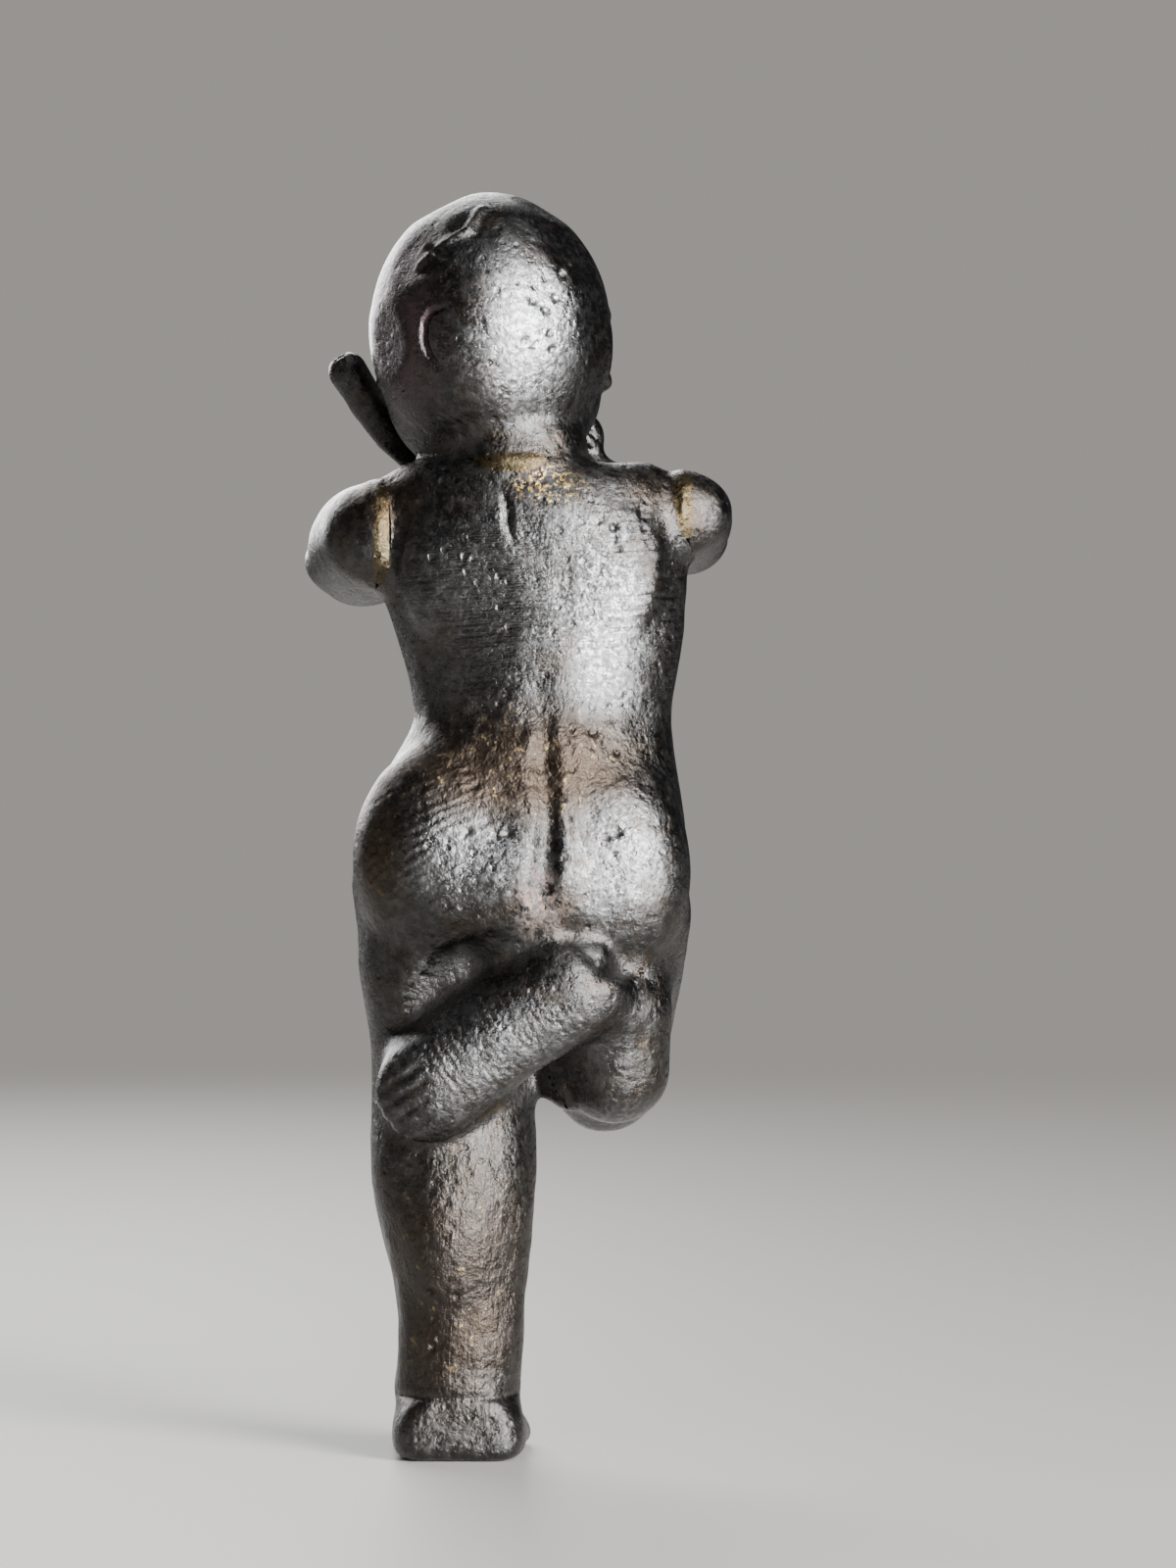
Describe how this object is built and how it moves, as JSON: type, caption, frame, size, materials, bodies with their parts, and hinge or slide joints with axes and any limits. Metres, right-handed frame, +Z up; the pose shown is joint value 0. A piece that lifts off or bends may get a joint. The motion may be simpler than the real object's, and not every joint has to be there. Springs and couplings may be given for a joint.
{
  "type": "cast metal child figurine",
  "caption": "Small solid cast figure of a round-headed child dancing on one leg with the other foot folded across behind the knee, blowing a curved horn.",
  "frame": {"origin": "on the sole of the standing foot, below the ankle", "axes": "+Z up through the head, the figure faces -Y, its left hand side is +X"},
  "size_m": [0.022, 0.0185, 0.0645],
  "materials": {
    "cast_metal": "dark grey-brown patina over filed cast metal, burnished bright on the head and back",
    "braze_metal": "rough yellow-brown braze filler, partly tarnished"
  },
  "bodies": {
    "root": {"bent_foot": "cast_metal", "bent_shin": "cast_metal", "bent_thigh": "cast_metal", "crossing_braze": "braze_metal", "curved_horn": "cast_metal", "head": "cast_metal", "hips": "cast_metal", "left_forearm": "cast_metal", "left_hand": "cast_metal", "left_shoulder_braze": "braze_metal", "left_upper_arm": "cast_metal", "neck_braze": "braze_metal", "right_forearm": "cast_metal", "right_hand": "cast_metal", "right_shoulder_braze": "braze_metal", "right_upper_arm": "cast_metal", "standing_foot": "cast_metal", "standing_leg": "cast_metal", "torso": "cast_metal"}
  },
  "joints": []
}
